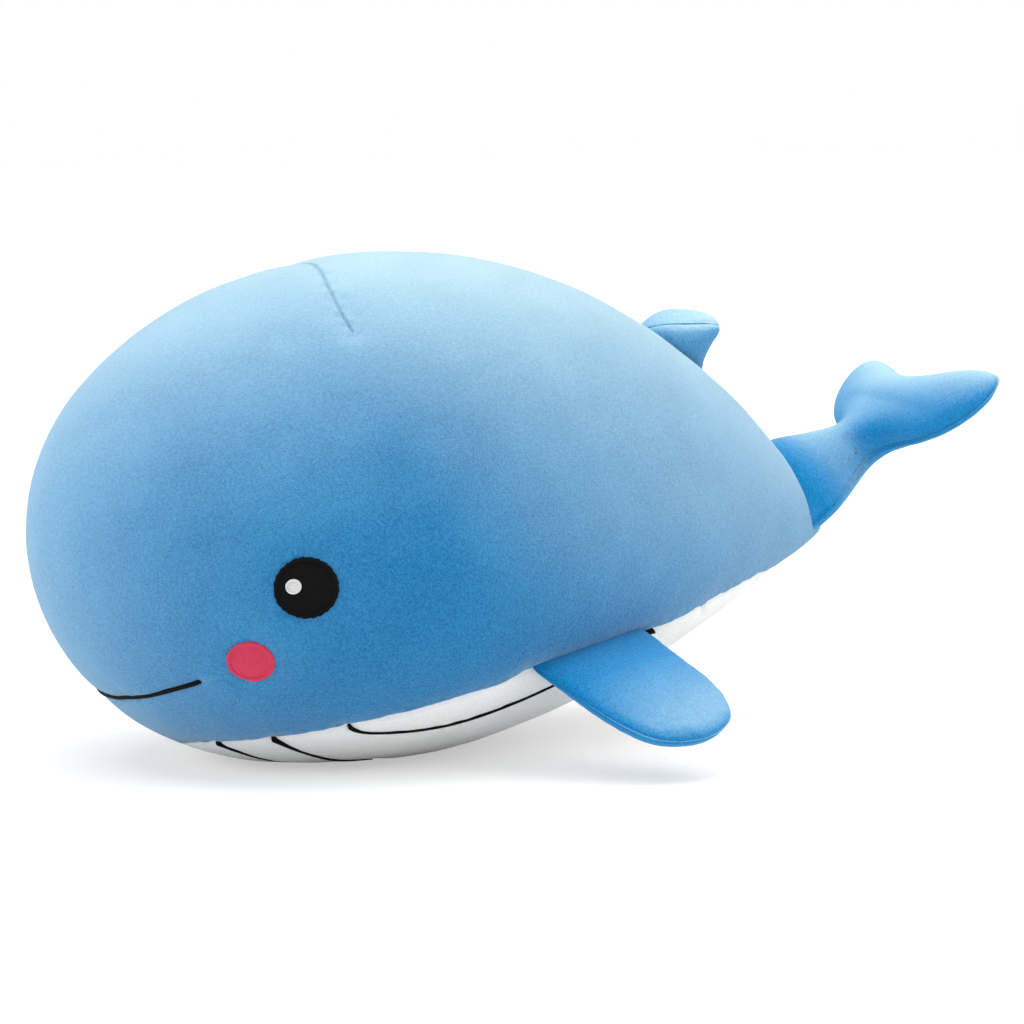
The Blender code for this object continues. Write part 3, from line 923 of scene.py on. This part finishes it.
def limbPanel(name, node, limb, upper):
    edge = smoothLine(limb["outline"], limbLook["spokes"], True)
    rings, spokes = limbLook["rings"], limbLook["spokes"]
    bend = np.linspace(0, math.pi / 2, rings)
    middle = np.array(limb["middle"])
    flat = middle + (edge[None, :, :] - middle) * np.sin(bend)[:, None, None]
    flat = flat.reshape(-1, 2)
    sign = 1 if upper else -1
    height = limb["rise" if upper else "drop"](flat[:, 1])
    level = limb["seam"](flat)
    # Near the rim each spoke closes as a quarter round.
    reach = np.minimum(np.sin(bend), limbLook["rimShare"])
    inner = (middle + (edge[None, :, :] - middle) * reach[:, None, None]).reshape(-1, 2)
    full = filmHeight(limb["film"], inner) ** limb["fullness"][0 if upper else 1]
    closing = np.sqrt(np.clip((1 - np.sin(bend) ** 2) / (1 - reach**2), 0, 1))
    stand = sign * height * full * np.repeat(closing, spokes)
    stand[-spokes:] = 0
    matrix = np.array(limb["frame"])
    local = np.column_stack([flat, level + stand])
    points = local @ matrix[:3, :3].T + matrix[:3, 3]
    faces = []
    for ring in range(rings - 1):
        for spoke in range(spokes):
            first, other = ring * spokes + spoke, ring * spokes + (spoke + 1) % spokes
            quad = [first, first + spokes, other + spokes, other]
            faces.append(quad if upper else quad[::-1])
    panel = meshObject(name, points, faces, limbPlush)
    shape = bmesh.new()
    shape.from_mesh(panel.data)
    if shape.faces[:][spokes * rings // 2].normal.dot(Vector(matrix[:3, 2]) * sign) < 0:
        bmesh.ops.reverse_faces(shape, faces=shape.faces)
        shape.to_mesh(panel.data)
    shape.free()
    panel.data.update()
    normals = meshNormals(panel)
    rim = points[-spokes:]
    gap = np.linalg.norm(points.reshape(rings, spokes, 3) - rim[None, :, :], axis=2).ravel()
    relief = limbLook["lumps"] * waver(points, limbLook["lumpSize"], 4.4)
    trough = limbLook["troughShare"] * np.exp(-((gap / limbLook["troughWidth"]) ** 2))
    relief -= limb["valley"] * (np.exp(-((gap / limbLook["seamWidth"]) ** 2)) + trough)
    ripples = waver(points, limbLook["puckerSize"], 7.1)
    relief += limbLook["pucker"] * ripples * np.exp(-gap / limbLook["puckerReach"])
    points = points + normals * relief[:, None]
    points[-spokes:] = rim
    setPoints(panel, points)
    # Painted light along the limb: the first table scales the painted top light, low at the root where the
    # body's shade falls, and the second adds a painted paleness.
    run = np.abs(flat[:, 1]) / np.abs(edge[:, 1]).max()
    setShare(panel, "nap", between(run, limb["nap"]))
    setShare(panel, "paintedLight", between(run, limb["paintedLight"]))
    weld(panel)
    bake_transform(panel)
    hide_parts(*node)
    return panel


def frameMatrix(origin, across, along, up):
    return Matrix.Translation(origin) @ Matrix((across, along, up)).transposed().to_4x4()


# Flippers, drooping outwards from the side seam.
flipperForm = {
    "chord": 0.062,
    "span": 0.066,
    "droop": math.radians(28),
    "outline": (
        (0.39, -0.18),
        (0.42, -0.03),
        (0.39, 0.15),
        (0.355, 0.33),
        (0.32, 0.515),
        (0.265, 0.70),
        (0.17, 0.865),
        (0.015, 0.96),
        (-0.16, 1.0),
        (-0.32, 0.985),
        (-0.475, 0.91),
        (-0.57, 0.76),
        (-0.60, 0.575),
        (-0.58, 0.365),
        (-0.57, 0.15),
        (-0.55, -0.03),
        (-0.485, -0.18),
        (-0.26, -0.24),
        (-0.03, -0.26),
        (0.19, -0.24),
    ),
    "middle": (-0.10, 0.42),
    "halfThickness": 0.0082,
    "underside": 1.25,
    "thickness": ((-0.26, 0.55), (0.0, 0.62), (0.35, 0.95), (1.0, 1.05)),
    "fullness": (0.5, 0.42),
    "fill": 0.6,
    "bend": (-0.002, 0.024),
    "valley": 0.0006,
    # Painted light: no painted top light at the root, in the body's shade, and most at the tip.
    "nap": ((0.0, 0.0), (0.30, 0.08), (0.6, 0.60), (1.0, 1.5)),
    "paintedLight": ((0.5, 0.0), (1.0, 0.04)),
}


def addFlipper(side):
    front = bodyBeside(*flipperPlace["front"], side)
    rear = bodyBeside(*flipperPlace["rear"], side)
    forward = (front - rear).normalized()
    sideways = upDirection.cross(forward).normalized() * side
    upright = (forward.cross(sideways) * side).normalized()
    outward = sideways * math.cos(flipperForm["droop"]) - upright * math.sin(flipperForm["droop"])
    along = outward * side
    scale = np.array((flipperForm["chord"], flipperForm["span"] * side))
    name = "left" if side > 0 else "right"
    origin = (front + rear) / 2

    def height(run):
        share = between(run * side / flipperForm["span"], flipperForm["thickness"])
        return flipperForm["halfThickness"] * share

    limb = {
        **flipperForm,
        "outline": np.array(flipperForm["outline"]) * scale,
        "middle": np.array(flipperForm["middle"]) * scale,
        "rise": height,
        "drop": lambda run: flipperForm["underside"] * height(run),
        "seam": lambda flat: flat[:, 1] * 0,
        "frame": frameMatrix(origin, forward, along, forward.cross(along)),
        "body": f"{name}_flipper",
        "bendStart": origin + outward * flipperForm["bend"][0],
        "bendEnd": origin + outward * flipperForm["bend"][1],
    }
    limb["film"] = blownFilm(smoothLine(limb["outline"], limbLook["spokes"], True))
    limbPanel(f"{name}FlipperTop", (f"{name}_flipper_top_panel", f"{name}_flipper_filling"), limb, True)
    limbPanel(f"{name}FlipperBottom", (f"{name}_flipper_bottom_panel",), limb, False)


# Dorsal fin, leaning to the left. Its front and rear are places along the back, each with a lift.
finForm = {
    "length": 0.036,
    "height": 0.022,
    "lean": math.radians(33),
    "front": (-0.50, 0.0006),
    "rear": (-0.70, 0.0021),
    "outline": (
        (0.53, -0.18),
        (0.515, 0.06),
        (0.42, 0.28),
        (0.285, 0.48),
        (0.13, 0.69),
        (-0.01, 0.87),
        (-0.13, 0.975),
        (-0.19, 0.955),
        (-0.215, 0.86),
        (-0.235, 0.70),
        (-0.265, 0.50),
        (-0.33, 0.27),
        (-0.43, 0.04),
        (-0.50, -0.23),
        (-0.25, -0.41),
        (0.17, -0.41),
    ),
    "middle": (0.0, 0.25),
    "rightHeight": 0.0235,
    "leftHeight": 0.0095,
    "thickness": ((-0.41, 0.7), (0.0, 0.8), (0.3, 1.0), (1.0, 1.08)),
    "fullness": (0.45, 0.5),
    "fill": 0.8,
    "bend": (-0.001, 0.014),
    "valley": 0.0003,
    # Painted light: painted top light along the fin and an even painted paleness.
    "nap": ((0.0, 0.5), (0.5, 1.0), (1.0, 1.3)),
    "paintedLight": ((0.0, 0.22), (1.0, 0.22)),
}


def addDorsalFin():
    places = (finForm["front"], finForm["rear"])
    front, rear = (Vector(bodyAcross(spot, 0.0, True, lift)[0]) for spot, lift in places)
    forward = (front - rear).normalized()
    upright = forward.cross(sideDirection).normalized()
    along = upright * math.cos(finForm["lean"]) + sideDirection * math.sin(finForm["lean"])
    scale = np.array((finForm["length"], finForm["height"]))
    origin = (front + rear) / 2

    def height(size):
        return lambda run: finForm[size] * between(run / finForm["height"], finForm["thickness"])

    limb = {
        **finForm,
        "outline": np.array(finForm["outline"]) * scale,
        "middle": np.array(finForm["middle"]) * scale,
        "rise": height("rightHeight"),
        "drop": height("leftHeight"),
        "seam": lambda flat: flat[:, 1] * 0,
        "frame": frameMatrix(origin, forward, along, forward.cross(along)),
        "body": "dorsal_fin",
        "bendStart": origin + along * finForm["bend"][0],
        "bendEnd": origin + along * finForm["bend"][1],
    }
    limb["film"] = blownFilm(smoothLine(limb["outline"], limbLook["spokes"], True))
    limbPanel("dorsalFinRight", ("dorsal_fin_right_panel", "dorsal_fin_filling"), limb, True)
    limbPanel("dorsalFinLeft", ("dorsal_fin_left_panel",), limb, False)


# Tail, raised at the hinge, with a high root and two flukes.
tailForm = {
    "halfSpan": 0.058,
    "length": 0.092,
    "lift": math.radians(41),
    "hinge": (-0.22499, 0.0, 0.10248),
    "halfOutline": (
        (0.0, -0.22),
        (0.20, -0.195),
        (0.31, -0.11),
        (0.335, 0.02),
        (0.285, 0.15),
        (0.215, 0.285),
        (0.175, 0.375),
        (0.235, 0.445),
        (0.395, 0.495),
        (0.60, 0.545),
        (0.79, 0.622),
        (0.93, 0.73),
        (1.0, 0.85),
        (0.985, 0.945),
        (0.885, 0.992),
        (0.72, 0.985),
        (0.50, 0.95),
        (0.24, 0.90),
        (0.0, 0.875),
    ),
    "middle": (0.0, 0.59),
    "riseHeight": 0.053,
    "dropHeight": 0.0095,
    "rise": (
        (-0.22, 0.60),
        (-0.10, 0.60),
        (0.0, 0.685),
        (0.11, 0.63),
        (0.27, 0.465),
        (0.42, 0.325),
        (0.60, 0.285),
        (0.71, 0.295),
        (1.0, 0.30),
    ),
    "drop": ((-0.22, 0.60), (0.0, 0.95), (0.27, 0.85), (0.45, 0.78), (0.65, 0.80), (1.0, 0.75)),
    "seamDrop": 0.0138,
    "seamSag": 0.0023,
    "rightDroop": 0.0045,
    "droopPower": 1.3,
    "fullness": (0.5, 0.5),
    "fill": 0.8,
    "bend": (0.002, 0.036),
    "valley": 0.0006,
    # Painted light: painted top light low at the root and most at the flukes, and a painted paleness over the
    # stock.
    "nap": ((0.0, 0.0), (0.12, 0.3), (0.3, 0.95), (0.45, 0.75), (1.0, 1.4)),
    "paintedLight": ((0.0, 0.0), (0.10, 0.05), (0.20, 0.20), (0.36, 0.14), (0.46, 0.02), (1.0, 0.03)),
}


def addTail():
    along = Vector((-math.cos(tailForm["lift"]), 0, math.sin(tailForm["lift"])))
    half = np.array(tailForm["halfOutline"]) * (tailForm["halfSpan"], tailForm["length"])
    outline = np.concatenate([half, (half * (-1, 1))[-2:0:-1]])
    origin = Vector(tailForm["hinge"])
    riseTable = smoothLine(tailForm["rise"], 60)
    dropTable = smoothLine(tailForm["drop"], 60)

    def seam(flat):
        share = np.clip(flat[:, 1] / tailForm["length"], 0, 1)
        rightward = np.clip(-flat[:, 0] / tailForm["halfSpan"], 0, 1)
        droop = tailForm["rightDroop"] * rightward ** tailForm["droopPower"]
        return -tailForm["seamDrop"] - 4 * tailForm["seamSag"] * share * (1 - share) - droop

    limb = {
        **tailForm,
        "outline": outline,
        "middle": np.array(tailForm["middle"]) * (tailForm["halfSpan"], tailForm["length"]),
        "rise": lambda run: tailForm["riseHeight"] * between(run / tailForm["length"], riseTable),
        "drop": lambda run: tailForm["dropHeight"] * between(run / tailForm["length"], dropTable),
        "seam": seam,
        "frame": frameMatrix(origin, sideDirection, along, sideDirection.cross(along)),
        "body": "tail",
        "bendStart": origin + along * tailForm["bend"][0],
        "bendEnd": origin + along * tailForm["bend"][1],
    }
    limb["film"] = blownFilm(smoothLine(limb["outline"], limbLook["spokes"], True))
    limbPanel("tailTop", ("tail_top_panel", "tail_filling"), limb, True)
    limbPanel("tailBottom", ("tail_bottom_panel",), limb, False)


print("flippers, dorsal fin and tail")
addFlipper(1)
addFlipper(-1)
addDorsalFin()
addTail()


# Stage: a pale floor, soft light and the photograph's view.
stageLook = {
    "floorSize": 12.0,
    "floorDepth": 0.0004,
    "floorGrain": 0.02,
    "floorGrainSize": 6.0,
    "floorColour": (0.505, 0.50, 0.485),
    "floorGlow": 0.46,
    "floorBounce": (0.85, 0.85, 0.84),
    "worldColour": (1.0, 1.0, 1.0),
    "worldStrength": 0.30,
    "suns": {
        "softTop": ((0.0, 0.02, 1.0), 2.5, math.radians(70)),
        "softFront": ((0.90, -0.25, 0.55), 2.3, math.radians(70)),
        "softRear": ((-0.90, 0.42, 0.75), 1.8, math.radians(60)),
        "softNear": ((0.45, 0.89, 0.30), 0.45, math.radians(70)),
    },
    "azimuth": 153.0,
    "elevation": 7.0,
    "distance": 1.8,
    "pixelSize": 0.00043,
    "target": (-0.050, 0.0, 0.0975),
    "targetPixel": (439.7, 516.7),
    "picture": 1024,
}


def addStage():
    shape = bmesh.new()
    half = stageLook["floorSize"] / 2
    signs = ((-1, -1), (1, -1), (1, 1), (-1, 1))
    shape.faces.new([shape.verts.new((x * half, y * half, -stageLook["floorDepth"])) for x, y in signs])
    mesh = bpy.data.meshes.new("floor")
    shape.to_mesh(mesh)
    shape.free()
    floor = bpy.data.objects.new("floor", mesh)
    bpy.context.scene.collection.objects.link(floor)
    paint = Paint("paleFloor")
    grain = paint.noise(paint.place(), stageLook["floorGrainSize"]) * stageLook["floorGrain"]
    direct = paint.seenDirectly()
    seen = paint.between(stageLook["floorBounce"], stageLook["floorColour"], direct)
    material = paint.finish(
        Base_Color=seen + grain,
        Roughness=0.9,
        Specular_IOR_Level=0.05,
        Emission_Color=direct * stageLook["floorGlow"],
        Emission_Strength=1.0,
    )
    mesh.materials.append(material)


def addWorld():
    paint = Paint("studio", world=True)
    white = stageLook["worldColour"]
    light = paint.add("ShaderNodeBackground", values={"Color": white, "Strength": stageLook["worldStrength"]})
    backdrop = paint.add("ShaderNodeBackground", values={"Color": white, "Strength": 1.0})
    either = paint.add("ShaderNodeMixShader", values={0: paint.seenDirectly(), 1: light, 2: backdrop})
    paint.feed(paint.tree.nodes["World Output"].inputs["Surface"], either)
    bpy.context.scene.world = paint.material


def addSun(name, source, strength, spread):
    lamp = bpy.data.lights.new(name, "SUN")
    lamp.energy = strength
    lamp.angle = spread
    made = bpy.data.objects.new(name, lamp)
    made.rotation_mode = "QUATERNION"
    made.rotation_quaternion = Vector(source).to_track_quat("Z", "Y")
    bpy.context.scene.collection.objects.link(made)


def addCamera():
    turn, rise = math.radians(stageLook["azimuth"]), math.radians(stageLook["elevation"])
    back = Vector((math.sin(turn) * math.cos(rise), -math.cos(turn) * math.cos(rise), math.sin(rise)))
    right = Vector((math.cos(turn), math.sin(turn), 0))
    above = back.cross(right)
    middle = stageLook["picture"] / 2
    across = (middle - stageLook["targetPixel"][0]) * stageLook["pixelSize"]
    down = (middle - stageLook["targetPixel"][1]) * stageLook["pixelSize"]
    target = Vector(stageLook["target"])
    aim = target + right * across - above * down
    place = target + back * stageLook["distance"]
    data = bpy.data.cameras.new("camera")
    data.sensor_width = 36.0
    data.lens = data.sensor_width * stageLook["distance"] / (stageLook["picture"] * stageLook["pixelSize"])
    made = bpy.data.objects.new("camera", data)
    made.location = place
    made.rotation_mode = "QUATERNION"
    made.rotation_quaternion = (aim - place).to_track_quat("-Z", "Y")
    bpy.context.scene.collection.objects.link(made)
    bpy.context.scene.camera = made


print("stage")
addStage()
addWorld()
for sunName, (source, strength, spread) in stageLook["suns"].items():
    addSun(sunName, source, strength, spread)
addCamera()
bpy.context.scene.view_settings.view_transform = "Standard"

print("done")
